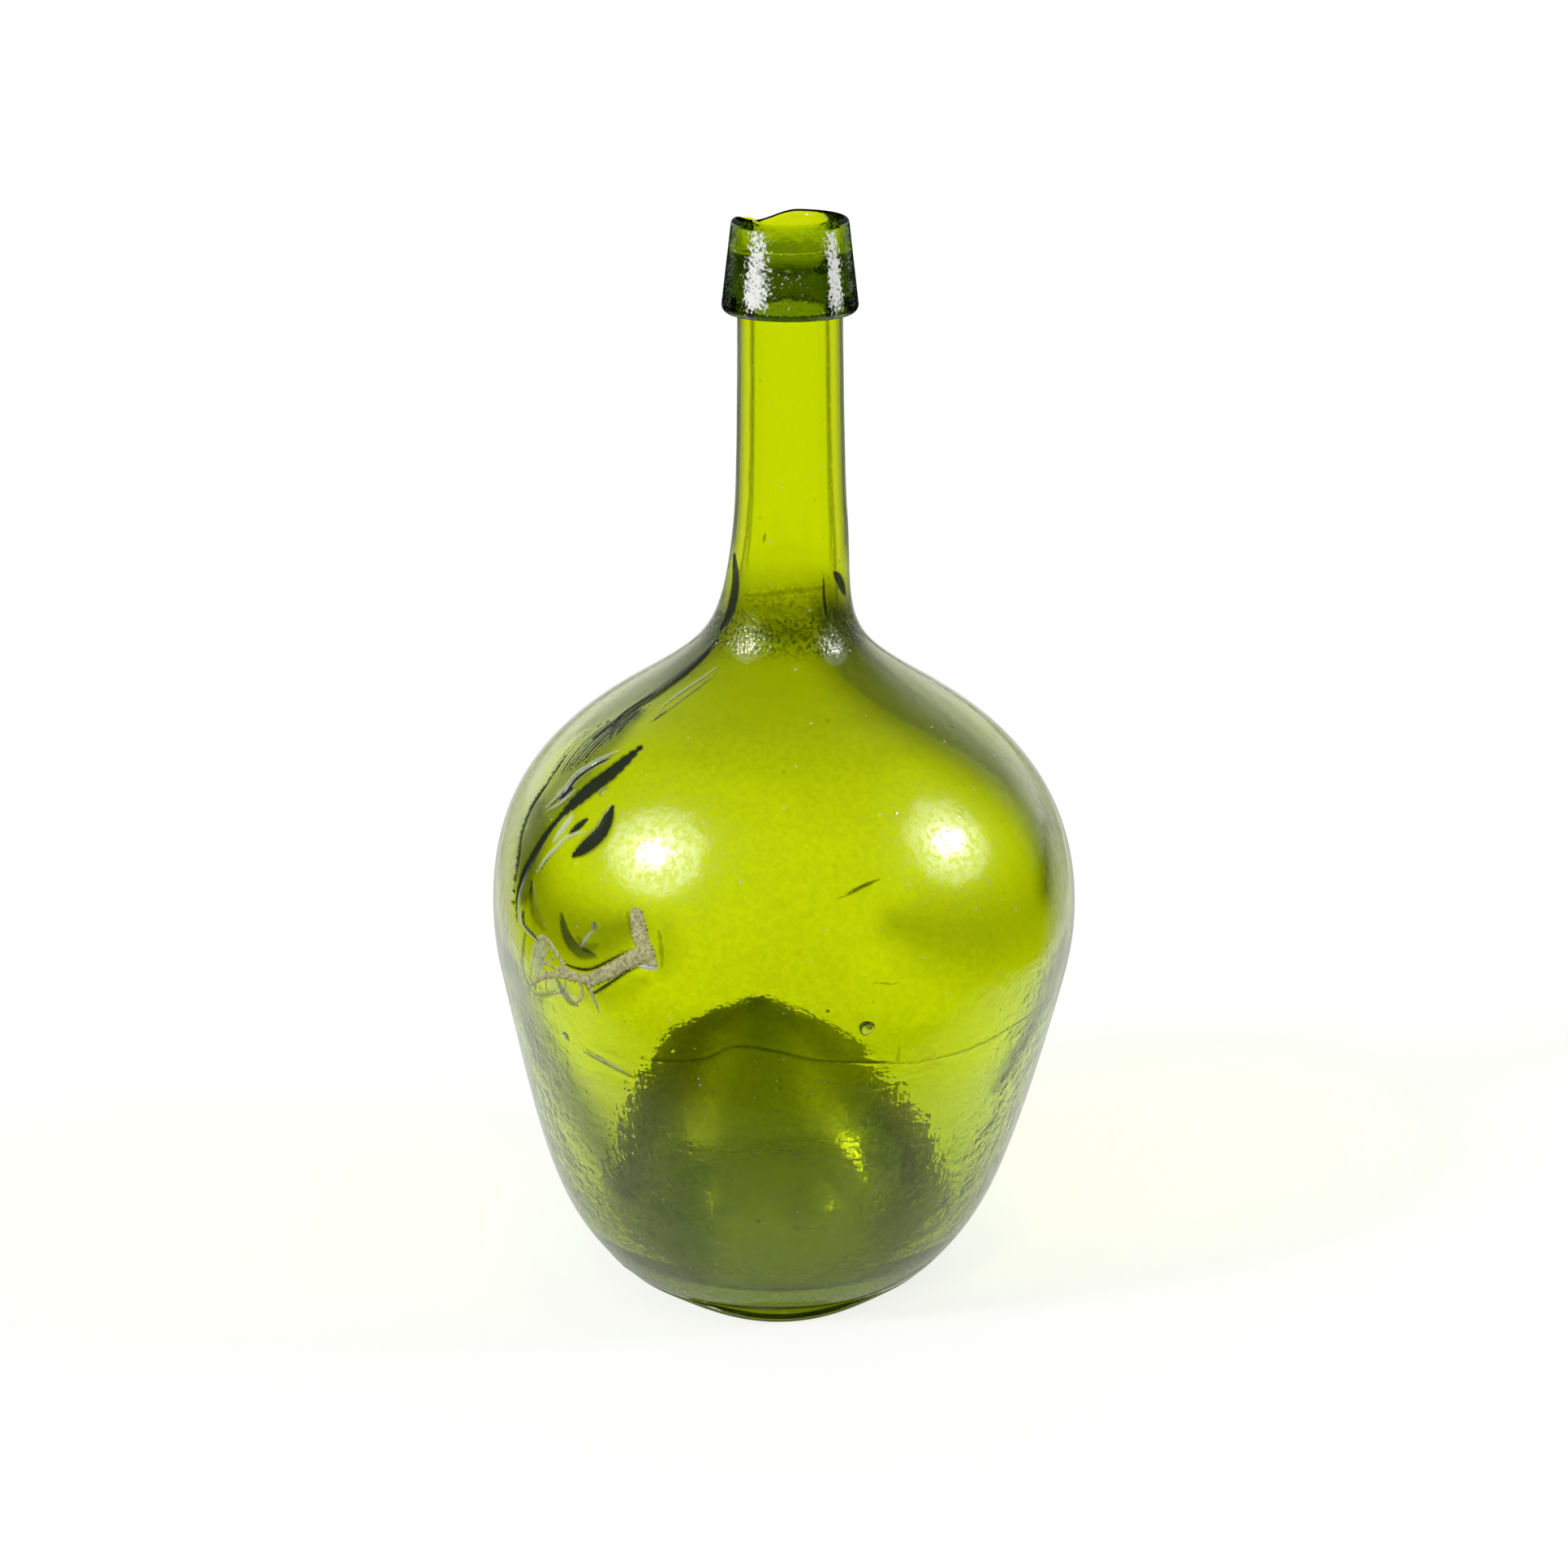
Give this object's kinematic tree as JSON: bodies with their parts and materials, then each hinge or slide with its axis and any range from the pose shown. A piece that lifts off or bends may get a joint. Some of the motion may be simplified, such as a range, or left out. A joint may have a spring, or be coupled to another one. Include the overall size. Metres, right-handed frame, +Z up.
{
  "type": "demijohn",
  "caption": "Round-bellied green glass demijohn with a long neck, an applied tapered collar with an uneven lip, and a hollow foot.",
  "frame": {"origin": "on the floor, under the middle of the belly", "axes": "+Z up through the neck, -Y towards the side with the clay streak, +X to the right as seen from that side"},
  "size_m": [0.19, 0.19, 0.3443],
  "materials": {
    "green_glass": "fire-polished glass, hammered by the dip mould below its rim",
    "collar_glass": "tooled glass with a fine sparkling bloom",
    "pontil_glass": "broken glass",
    "burnt_clay": "matt, streaked"
  },
  "bodies": {
    "root": {"glass_body": "green_glass", "applied_collar": "collar_glass", "pontil_scar": "pontil_glass", "clay_streak": "burnt_clay", "stray_glass_bead": "green_glass"}
  },
  "joints": []
}
